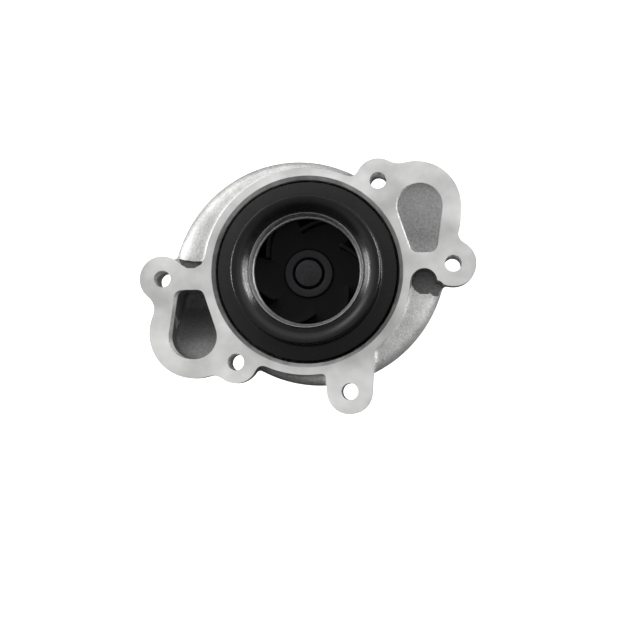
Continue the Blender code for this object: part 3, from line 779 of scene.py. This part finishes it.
def milled_aluminium():
    """Face-milled aluminium, a little stained by storage: satin, with faint cutter arcs and soft clouds."""
    colour = finishes().machined
    made, tree, shader, place = new_material("milled_aluminium", colour, 0.8, 0.55)
    clouds = add(tree, "ShaderNodeTexNoise", None, {"Vector": place, "Scale": per(26), "Detail": 4.0})
    tint = ramp_between(tree, clouds.outputs["Fac"], 0.35, 0.68, shade(colour, 0.72), shade(colour, 1.12))
    tree.links.new(tint, shader.inputs["Base Color"])
    # The cutter's centre passed well outside the flange, so its arcs cross it nearly straight
    shifted = add(tree, "ShaderNodeMapping", None, {"Vector": place, "Location": (0.21, 0.12, 0)})
    arcs = add(tree, "ShaderNodeTexWave", {"wave_type": "RINGS", "rings_direction": "Z"}, {
        "Vector": shifted.outputs["Vector"], "Scale": per(1.4) / WAVE, "Distortion": 1.5, "Detail": 2.0,
    })
    tree.links.new(spread(tree, clouds.outputs["Fac"], 0.5, 0.6), shader.inputs["Roughness"])
    raise_bump(tree, shader, arcs.outputs["Fac"], 0.06, 0.05)
    return made


def cut_aluminium(name, tone):
    """Bored or drilled aluminium, with fine rings along the cut: the bored copy darker than the milled face,
    and the drilled copy lighter, as painted light on the holes' shaded walls.
    """
    colour = shade(finishes().machined, tone)[:3]
    made, tree, shader, place = new_material(name, colour, 0.6, 0.55)
    rings = add(tree, "ShaderNodeTexWave", {"wave_type": "BANDS", "bands_direction": "Z"}, {
        "Vector": place, "Scale": per(0.6) / WAVE, "Distortion": 0.6, "Detail": 1.0,
    })
    wear = add(tree, "ShaderNodeTexNoise", None, {"Vector": place, "Scale": per(7), "Detail": 4.0})
    tint = ramp_between(tree, wear.outputs["Fac"], 0.3, 0.7, shade(colour, 0.75), shade(colour, 1.3))
    tree.links.new(tint, shader.inputs["Base Color"])
    raise_bump(tree, shader, rings.outputs["Fac"], 0.25, 0.04)
    return made


def black_coat(name, gloss):
    """Electrophoretic paint on pressed steel: black, with a faint orange peel, dust and fine scuffs."""
    colour = finishes().coat
    made, tree, shader, place = new_material(name, colour, 0.0, 0.3)
    shader.inputs["IOR"].default_value = 1.5
    shader.inputs["Specular IOR Level"].default_value = gloss
    peel = add(tree, "ShaderNodeTexNoise", None, {"Vector": place, "Scale": per(2.2), "Detail": 2.0})
    haze = add(tree, "ShaderNodeTexNoise", None, {
        "Vector": place, "Scale": per(9), "Detail": 6.0, "Roughness": 0.65,
    })
    tree.links.new(spread(tree, haze.outputs["Fac"], 0.2, 0.36), shader.inputs["Roughness"])
    dust = add(tree, "ShaderNodeTexVoronoi", None, {"Vector": place, "Scale": per(3.2)})
    speck = spread(tree, dust.outputs["Distance"], gloss, 0.0, 0.04, 0.09)
    dust_grey = (0.1, 0.1, 0.1, 1)
    tint = add(tree, "ShaderNodeMix", {"data_type": "RGBA"}, {0: speck, 6: (*colour, 1), 7: dust_grey})
    tree.links.new(tint.outputs[2], shader.inputs["Base Color"])
    raise_bump(tree, shader, peel.outputs["Fac"], 0.12, 0.12)
    return made


def metal(name, colour, metallic, roughness, streak=0.5, grain=1.2):
    """Turned, ground or pressed steel: fine rings round the axis, and roughness that wanders a little."""
    made, tree, shader, place = new_material(name, colour, metallic, roughness)
    rings = add(tree, "ShaderNodeTexWave", {"wave_type": "RINGS", "rings_direction": "Z"}, {
        "Vector": place, "Scale": per(streak) / WAVE, "Distortion": 0.8, "Detail": 2.0,
    })
    mottle = add(tree, "ShaderNodeTexNoise", None, {"Vector": place, "Scale": per(grain), "Detail": 4.0})
    tree.links.new(
        spread(tree, mottle.outputs["Fac"], roughness - 0.06, roughness + 0.08), shader.inputs["Roughness"]
    )
    tint = ramp_between(tree, mottle.outputs["Fac"], 0.3, 0.7, shade(colour, 0.8), shade(colour, 1.12))
    tree.links.new(tint, shader.inputs["Base Color"])
    raise_bump(tree, shader, rings.outputs["Fac"], 0.15, 0.04)
    return made


def moulded(name, colour, roughness, grain, relief):
    """A moulded or fired piece that isn't metal: an even tone, clouded a little, with a fine relief."""
    base = linear(colour)
    made, tree, shader, place = new_material(name, base, 0.0, roughness)
    fine = add(tree, "ShaderNodeTexNoise", None, {"Vector": place, "Scale": per(grain), "Detail": 5.0})
    clouds = add(tree, "ShaderNodeTexNoise", None, {"Vector": place, "Scale": per(6), "Detail": 3.0})
    tint = ramp_between(tree, clouds.outputs["Fac"], 0.3, 0.7, shade(base, 0.75), shade(base, 1.3))
    tree.links.new(tint, shader.inputs["Base Color"])
    wander = spread(tree, fine.outputs["Fac"], roughness - 0.08, roughness + 0.1)
    tree.links.new(wander, shader.inputs["Roughness"])
    raise_bump(tree, shader, fine.outputs["Fac"], 0.3, relief)
    return made


# Pieces


def impeller_shroud():
    """Front shroud, with the collar that the engine's inlet seals on, rolled inwards to the eye."""
    h = FACE
    piece = turned("impeller_front_shroud", [
        (48.0, h - 1.0), (41.2, h - 1.0), (40.0, h - 0.6), (39.6, h + 0.4), (39.7, h + 12.4), (38.9, h + 13),
        (37.3, h + 12.95), (35.6, h + 12.4), (34.2, h + 11.6), (33.0, h + 10.6), (32.0, h + 9.6),
        (30.4, h + 8.4), (30.9, h + 8.2), (30.9, h - 3.2), (33.2, h - 3.2), (33.2, h + 7.6), (35.0, h + 9.6),
        (37.4, h + 10.4), (37.4, h - 0.6), (40.0, h - 3.2), (48.0, h - 3.2),
    ], edge=0.35, steps=STEPS, smooth=38)
    coat = black_coat("black_coated_steel", 0.36)
    finish(piece, coat, "rotor", "black_coated_steel", "impeller_shroud")


def impeller_eye_ring():
    """The ring that lines the eye, turned bright and dulled since."""
    h, eye = FACE, sizes().eye / 2 / MM
    piece = turned("impeller_eye_wear_ring", [
        (30.6, h + 8.1), (30.3, h + 8.1), (eye + 0.9, h + 0.8), (eye + 0.1, h), (eye, h - 3.2),
        (30.6, h - 3.2),
    ], edge=0.12, steps=STEPS)
    steel = metal("dull_turned_steel", finishes().eye_ring, 0.88, 0.36)
    finish(piece, steel, "rotor", "eye_ring_steel", "impeller_eye_ring")


def vane(number, start):
    """A backward-curved vane: a strip bent along a log spiral, from the back plate up to the shroud."""
    inner, outer, lean = 22.6, 47.2, math.radians(28)
    steps = 26
    low, high = FACE - 17.0, FACE - 3.5
    line = []
    for i in range(steps + 1):
        radius = inner + (outer - inner) * i / steps
        angle = math.radians(start) - math.log(radius / inner) / math.tan(lean)
        line.append((radius * math.cos(angle), radius * math.sin(angle), low))
    piece = trace(f"vane_{number}", line)
    bpy.ops.mesh.select_all(action="SELECT")
    bpy.ops.mesh.extrude_region_move(TRANSFORM_OT_translate={"value": (0, 0, (high - low) * MM)})
    tidy_mesh()
    modify(piece, "SOLIDIFY", thickness=1.8 * MM, offset=0)
    return piece


def impeller_vane_plate():
    """The back plate with its vanes in one."""
    bore, first_vane = 13.6, 100
    plate = turned("impeller_vaned_back_plate", [
        (bore, FACE - 18.5), (48, FACE - 18.5), (48, FACE - 16), (bore, FACE - 16),
    ], edge=0, steps=STEPS)
    for i in range(sizes().vanes):
        cut(plate, vane(i + 1, first_vane + 360 / sizes().vanes * i), "UNION")
    round_edges(plate, 0.3)
    # A second coat with less gloss, and so fainter dust specks, darkens the vanes and back plate: painted
    # shade inside the impeller
    coat = black_coat("black_coated_steel_shaded_inside", 0.12)
    finish(smoothed(plate), coat, "rotor", "black_coated_steel", "impeller_vane_plate")


def impeller_hub():
    """The bush that the impeller is pressed on the shaft by."""
    low, top = 80.9, FACE - 13.8
    piece = turned("impeller_steel_hub", [
        (SHAFT_BORE, low), (13.3, low), (13.3, top - 0.6), (12.7, top), (9.0, top), (SHAFT_BORE, top - 0.7),
    ], edge=0.15)
    steel = metal("phosphated_steel", finishes().phosphate, 0.7, 0.45)
    finish(piece, steel, "rotor", "hub_steel", "impeller_hub")


def pump_shaft():
    """Hardened shaft, ground where the balls run, with a centre drilling in its pulley end."""
    top = FACE - 12.3
    race = []
    for middle in BALL_ROWS.values():
        race += arc((BALL_PITCH, middle), GROOVE_RADIUS, 180 + 31, 180 - 31, 8)
    piece = turned("pump_drive_shaft", [
        (0, 2.4), (1.6, 0), (7.2, 0), (SHAFT, 0.8), *race, (SHAFT, top - 0.9), (7.1, top), (0, top),
    ], edge=0.1)
    # The shaft's near-black steel colour is painted shade, for its end that is seen deep in the impeller's eye
    steel = metal("hardened_shaft_steel_painted_shade", linear("3E3E40"), 1.0, 0.34)
    finish(piece, steel, "rotor", "bearing_steel", "pump_shaft")


def drive_hub():
    """The flange that a pulley is bolted to, with its holes drilled for tapping."""
    piece = turned("drive_hub_flange", [
        (SHAFT_BORE, 0.6), (8.9, 0), (14.3, 0), (15, 0.7), (15, 3.5), (37, 3.5), (37, 10), (19.5, 10),
        (17.6, 10.6), (16.4, 11.8), (16, 13.6), (16, 17), (8.9, 17), (SHAFT_BORE, 16.4),
    ], edge=0.5, steps=STEPS)
    for i in range(HUB_HOLES):
        turn = math.radians(45 + 360 / HUB_HOLES * i)
        x, y = HUB_HOLE_PITCH * math.cos(turn), HUB_HOLE_PITCH * math.sin(turn)
        cut(piece, pin(f"tapping_{i}", (x, y, -2), (x, y, 16), HUB_HOLE_RADIUS, 40))
    steel = metal("phosphated_hub_steel", finishes().phosphate, 0.7, 0.42)
    finish(smoothed(piece), steel, "rotor", "hub_steel", "drive_hub")


def bearing_ring():
    """Outer ring of the bearing, with a groove for each row of balls and a step for each seal."""
    low, high, land, seat, depth = 18.3, 57.2, 12.6, 13.2, 3.4
    grooves = []
    for middle in BALL_ROWS.values():
        grooves += arc((BALL_PITCH, middle), GROOVE_RADIUS, -49, 49, 7)
    piece = turned("shaft_bearing_outer_ring", [
        (14.4, low), (15.0, low + 0.6), (15.0, high - 0.6), (14.4, high), (seat, high), (seat, high - depth),
        (land, high - depth), *reversed(grooves), (land, low + depth), (seat, low + depth), (seat, low),
    ], edge=0.08, steps=MIDDLE_STEPS)
    steel = metal("ground_bearing_steel", linear("B4B4B6"), 1.0, 0.22, 0.3, 2.0)
    finish(piece, steel, "housing", "bearing_steel", "bearing_outer_ring")


def bearing_seals():
    """The two rubber lip seals, each moulded on a pressed washer that snaps into the ring."""
    rubber = moulded("moulded_nitrile_rubber", "1C1C1D", 0.6, 0.7, 0.02)
    section = (
        (8.3, 0.1), (9.4, 0.5), (10.2, 0.5), (10.6, 0), (12.9, 0), (12.9, 2.4), (11, 2.4), (10, 1.6),
        (8.8, 1.5), (8.3, 1.1),
    )
    for name, end, inward in (("front", 18.9, 1), ("rear", 56.6, -1)):
        profile = [(radius, end + inward * step) for radius, step in section]
        piece = turned(f"{name}_lip_seal", profile, edge=0.1, steps=MIDDLE_STEPS)
        finish(piece, rubber, "housing", "bearing_seal_rubber", f"{name}_bearing_seal")


def ball_rows():
    """Both rows of balls, each in a nylon cage that keeps the balls apart."""
    nylon = moulded("glass_filled_nylon", "A08A62", 0.45, 0.5, 0.03)
    polished = metal("polished_bearing_steel", linear("C2C2C4"), 1.0, 0.12, 0.4, 3.0)
    for row, middle in BALL_ROWS.items():
        low, high = middle - 3.9, middle + 3.9
        cage = turned(f"{row}_nylon_cage", [
            (9.6, low), (11.6, low), (11.6, low + 1), (11.2, low + 1.4), (11.2, high - 1.4), (11.6, high - 1),
            (11.6, high), (9.6, high),
        ], edge=0, steps=MIDDLE_STEPS)
        first = smoothed(begin(
            f"{row}_steel_ball_1", bpy.ops.mesh.primitive_ico_sphere_add, subdivisions=4,
            radius=BALL_RADIUS * MM, location=Vector((BALL_PITCH, 0, middle)) * MM,
        ), 60)
        balls = [first] + [copied(first, f"{row}_steel_ball_{i}") for i in range(2, BALLS + 1)]
        for i, ball in enumerate(balls):
            turn = math.radians(360 / BALLS * i)
            ball.data.transform(Matrix.Rotation(turn, 4, "Z"))
            x, y = math.cos(turn), math.sin(turn)
            cut(cage, pin(f"pocket_{i}", (7 * x, 7 * y, middle), (14 * x, 14 * y, middle), GROOVE_RADIUS, 32))
            finish(ball, polished, f"{row}_ball_row", "bearing_steel", f"{row}_ball_{i + 1}")
        round_edges(cage, 0.12)
        finish(smoothed(cage), nylon, f"{row}_ball_row", "cage_nylon", f"{row}_ball_cage")


def water_slinger():
    """A rubber collar with a thin flared lip."""
    z = 59.6
    piece = turned("rubber_water_slinger", [
        (8.3, z - 1), (9.3, z - 1), (11, z - 0.7), (12.9, z - 0.35), (12.95, z + 0.5), (11, z + 0.3),
        (9.7, z + 0.1), (9.3, z + 0.5), (9.3, z + 1.6), (9, z + 1.8), (8.3, z + 1.8),
    ], edge=0.06, steps=MIDDLE_STEPS)
    rubber = moulded("moulded_slinger_rubber", "202021", 0.62, 0.6, 0.02)
    finish(piece, rubber, "rotor", "slinger_rubber", "water_slinger")


def seal_pressings():
    """The stainless pieces of the mechanical seal: its cup, and the band that drives the carbon."""
    steel = metal("pressed_stainless_steel", linear("B9BABC"), 1.0, 0.24, 0.4, 2.5)
    cup = turned("seal_pressed_cup", [
        (10.7, 62.3), (17, 62.3), (17.7, 62.6), (18, 63.3), (18, 71.7), (18.3, 72.2), (21, 72.2), (21, 73),
        (18, 73), (17.4, 72.6), (17.2, 72), (17.2, 63.9), (16.9, 63.3), (16.3, 63.1), (10.7, 63.1),
    ], edge=0.12)
    finish(cup, steel, "housing", "stainless_steel", "seal_cup")
    band = turned("carbon_drive_band", [
        (12.6, 69), (14.8, 69), (15.3, 69.3), (15.4, 69.9), (15.4, 73.6), (14.6, 73.6), (14.6, 69.9),
        (14.3, 69.6), (12.6, 69.4),
    ], edge=0.08)
    finish(band, steel, "housing", "stainless_steel", "seal_drive_band")
    finish(seal_spring(), steel, "housing", "stainless_steel", "seal_spring")


def seal_spring():
    """The coil spring that presses the carbon on its seat: a wire carried round the shaft."""
    radius, wire, low, high, turns = 14.2, 0.45, 65.3, 68.7, 2
    steps = 72 * turns
    piece = begin(
        "seal_coil_spring", bpy.ops.mesh.primitive_circle_add, vertices=16, radius=wire * MM,
        fill_type="NOTHING", location=Vector((radius, 0, low + wire)) * MM, rotation=(math.pi / 2, 0, 0),
    )
    modify(
        piece, "SCREW", angle=math.tau * turns, screw_offset=(high - low - 2 * wire) * MM, steps=steps,
        render_steps=steps, merge_threshold=0.001 * MM,
    )
    bpy.ops.object.mode_set(mode="EDIT")
    bpy.ops.mesh.select_all(action="SELECT")
    bpy.ops.mesh.fill_holes(sides=0)
    tidy_mesh()
    return smoothed(piece, 50)


def seal_rubbers():
    """The bellows that lets the carbon slide, and the boot that holds the ceramic seat."""
    rubber = moulded("moulded_bellows_rubber", "191919", 0.65, 0.6, 0.02)
    bellows = turned("seal_rubber_bellows", [
        (10.6, 63.4), (16.8, 63.4), (16.8, 65), (12.4, 65), (11.9, 65.4), (11.7, 66.4), (12, 67.4),
        (11.7, 68.4), (11.9, 69.2), (12.6, 69.8), (14, 70.1), (14.2, 70.6), (14.2, 72), (10.6, 72),
        (10.6, 69.8), (10.9, 69), (10.7, 68), (11, 67), (10.7, 66), (10.6, 65),
    ], edge=0.12)
    finish(bellows, rubber, "housing", "bellows_rubber", "seal_bellows")
    boot = turned("seal_seat_rubber_boot", [
        (8.3, 76.9), (9.5, 76.9), (9.6, 77.2), (9.6, 79.7), (14.7, 79.7), (14.9, 79.9), (14.9, 80.4),
        (14.7, 80.6), (8.3, 80.6),
    ], edge=0.12)
    finish(boot, rubber, "rotor", "bellows_rubber", "seal_seat_boot")


def seal_rings():
    """The lapped pair that seals: a carbon that stands still, and the ceramic seat that turns on it."""
    carbon = moulded("lapped_carbon_graphite", "38383A", 0.4, 0.4, 0.01)
    ring = turned("carbon_face_ring", [
        (10.7, 72.3), (14.1, 72.3), (14.3, 72.5), (14.3, 74.8), (14.1, 75), (13.5, 75), (13.2, 75.3),
        (13.2, 76.1), (11, 76.1), (10.7, 75.6),
    ], edge=0.06, steps=MIDDLE_STEPS)
    finish(ring, carbon, "housing", "carbon", "carbon_seal_ring")
    ceramic = moulded("alumina_ceramic", "E6E1D4", 0.25, 0.3, 0.005)
    seat = turned("ceramic_seat_ring", [
        (10.1, 76.4), (14.4, 76.4), (14.6, 76.6), (14.6, 79.2), (14.4, 79.4), (10.1, 79.4), (9.9, 79.2),
        (9.9, 76.6),
    ], edge=0.06, steps=MIDDLE_STEPS)
    finish(seat, ceramic, "rotor", "ceramic", "seal_seat_ring")


class WATER_PUMP_OT_housing(bpy.types.Operator):
    """Form the housing casting, then machine it"""

    bl_idname = "water_pump.housing"
    bl_label = "Housing"

    def execute(self, context):
        body = machined(casting())
        share_out_finishes(body)
        smoothed(body, 40)
        finish(body, None, "housing", "cast_aluminium", "pump_housing")
        return {"FINISHED"}


class WATER_PUMP_OT_impeller(bpy.types.Operator):
    """Make the impeller: shroud, eye ring, vaned back plate and hub"""

    bl_idname = "water_pump.impeller"
    bl_label = "Impeller"

    def execute(self, context):
        impeller_shroud()
        impeller_eye_ring()
        impeller_vane_plate()
        impeller_hub()
        return {"FINISHED"}


class WATER_PUMP_OT_drive(bpy.types.Operator):
    """Make the shaft and the pulley hub on its far end"""

    bl_idname = "water_pump.drive"
    bl_label = "Shaft and drive hub"

    def execute(self, context):
        pump_shaft()
        drive_hub()
        return {"FINISHED"}


class WATER_PUMP_OT_bearing(bpy.types.Operator):
    """Make the shaft bearing: outer ring, lip seals, balls and cages"""

    bl_idname = "water_pump.bearing"
    bl_label = "Bearing"

    def execute(self, context):
        bearing_ring()
        bearing_seals()
        ball_rows()
        return {"FINISHED"}


class WATER_PUMP_OT_seal(bpy.types.Operator):
    """Make the mechanical seal and the slinger behind it"""

    bl_idname = "water_pump.seal"
    bl_label = "Mechanical seal"

    def execute(self, context):
        seal_pressings()
        seal_rubbers()
        seal_rings()
        water_slinger()
        return {"FINISHED"}


class WATER_PUMP_OT_stage(bpy.types.Operator):
    """Set the pump on a pale floor in soft light, with a camera over its engine face"""

    bl_idname = "water_pump.stage"
    bl_label = "Studio"

    def execute(self, context):
        below = CAD_BOX[0][2] - 0.5 * MM
        floor = begin("studio_floor", bpy.ops.mesh.primitive_plane_add, size=30, location=(0, 0, below))
        table, _, shader, _ = new_material("light_table_acrylic", finishes().floor, 0.0, 0.8)
        shader.inputs["Emission Color"].default_value = (1, 1, 1, 1)
        shader.inputs["Emission Strength"].default_value = 0.75
        floor.data.materials.append(table)
        floor.visible_glossy = floor.visible_diffuse = False  # it is a backdrop, and doesn't light the pump
        self.camera()
        self.lights()
        context.scene.view_settings.view_transform = "Standard"  # a white floor stays white
        return {"FINISHED"}

    def camera(self):
        """Stands 0.74 m over the face, a little to one side, and looks nearly straight down."""
        lens = bpy.data.cameras.new("photographer")
        lens.lens, lens.sensor_width = 78.75, 36
        camera = bpy.data.objects.new("photographer", lens)
        bpy.context.scene.collection.objects.link(camera)
        right, up = Vector((0.99785, 0, -0.06547)), Vector((0.00364, 0.99845, 0.05551))
        view = Matrix((right, up, right.cross(up))).transposed().to_4x4()
        camera.matrix_world = Matrix.Translation((0.05589, -0.06781, FACE * MM + 0.74432)) @ view
        bpy.context.scene.camera = camera

    def lights(self):
        """A large lamp at the upper left, two low strips at the sides, and a bright room."""
        for name, place, size, power in (
            ("key_light", (-0.95, 0.95, 0.95), (0.7, 0.7), 4.6),
            ("right_strip", (1.3, 0.35, 0.36), (0.9, 0.12), 16.0),
            ("left_strip", (-1.3, 0.15, 0.36), (0.7, 0.12), 12.0),
        ):
            light = bpy.data.lights.new(name, "AREA")
            light.shape, light.energy = "RECTANGLE", power
            light.size, light.size_y = size
            lamp = bpy.data.objects.new(name, light)
            bpy.context.scene.collection.objects.link(lamp)
            aim = Vector((0, 0, FACE * MM)) - Vector(place)
            lamp.location, lamp.rotation_euler = place, aim.to_track_quat("-Z", "Y").to_euler()
        world = bpy.data.worlds.new("studio")
        bpy.context.scene.world = world
        world.use_nodes = True
        tree = world.node_tree
        # The room is bright towards the windows, and dark at table height and straight overhead
        direction = add(tree, "ShaderNodeTexCoord").outputs["Generated"]
        height = add(tree, "ShaderNodeSeparateXYZ", None, {"Vector": direction}).outputs["Z"]
        windows = add(tree, "ShaderNodeVectorMath", {"operation": "DOT_PRODUCT"}, {
            0: direction, 1: (-0.15, 0.9, 0.4),
        }).outputs["Value"]
        glow = None
        for pattern, start, end, low, high in (
            (height, 0.75, 0.97, 1.0, 0.4), (height, -0.1, 0.55, 0.04, 1.0), (windows, -0.5, 0.55, 0.05, 1.2),
        ):
            band = add(tree, "ShaderNodeMapRange", {"interpolation_type": "SMOOTHSTEP"}, {
                "Value": pattern, "From Min": start, "From Max": end, "To Min": low, "To Max": high,
            }).outputs["Result"]
            glow = band if glow is None else add(tree, "ShaderNodeMath", {"operation": "MULTIPLY"}, {
                0: glow, 1: band,
            }).outputs[0]
        background = tree.nodes["Background"]
        background.inputs["Color"].default_value = (1, 1, 1, 1)
        tree.links.new(glow, background.inputs["Strength"])


OPERATORS = (
    WATER_PUMP_OT_housing, WATER_PUMP_OT_impeller, WATER_PUMP_OT_drive, WATER_PUMP_OT_bearing,
    WATER_PUMP_OT_seal, WATER_PUMP_OT_stage,
)


class WATER_PUMP_PT_panel(bpy.types.Panel):
    """Water pump pieces and settings"""

    bl_idname = "WATER_PUMP_PT_panel"
    bl_label = "Water pump"
    bl_space_type = "VIEW_3D"
    bl_region_type = "UI"
    bl_category = "Water pump"

    def draw(self, context):
        for group in (context.scene.water_pump_sizes, context.scene.water_pump_finishes):
            for name in group.bl_rna.properties.keys():
                if name not in ("rna_type", "name"):
                    self.layout.prop(group, name)
        for operator in OPERATORS:
            self.layout.operator(operator.bl_idname)


def register():
    for cls in (PumpSizes, PumpFinishes, *OPERATORS, WATER_PUMP_PT_panel):
        bpy.utils.register_class(cls)
    bpy.types.Scene.water_pump_sizes = PointerProperty(type=PumpSizes)
    bpy.types.Scene.water_pump_finishes = PointerProperty(type=PumpFinishes)


def unregister():
    del bpy.types.Scene.water_pump_finishes
    del bpy.types.Scene.water_pump_sizes
    for cls in (WATER_PUMP_PT_panel, *reversed(OPERATORS), PumpFinishes, PumpSizes):
        bpy.utils.unregister_class(cls)


def main():
    register()
    bpy.ops.water_pump.housing()
    bpy.ops.water_pump.impeller()
    bpy.ops.water_pump.drive()
    bpy.ops.water_pump.bearing()
    bpy.ops.water_pump.seal()
    bpy.ops.water_pump.stage()


if __name__ == "__main__":
    main()
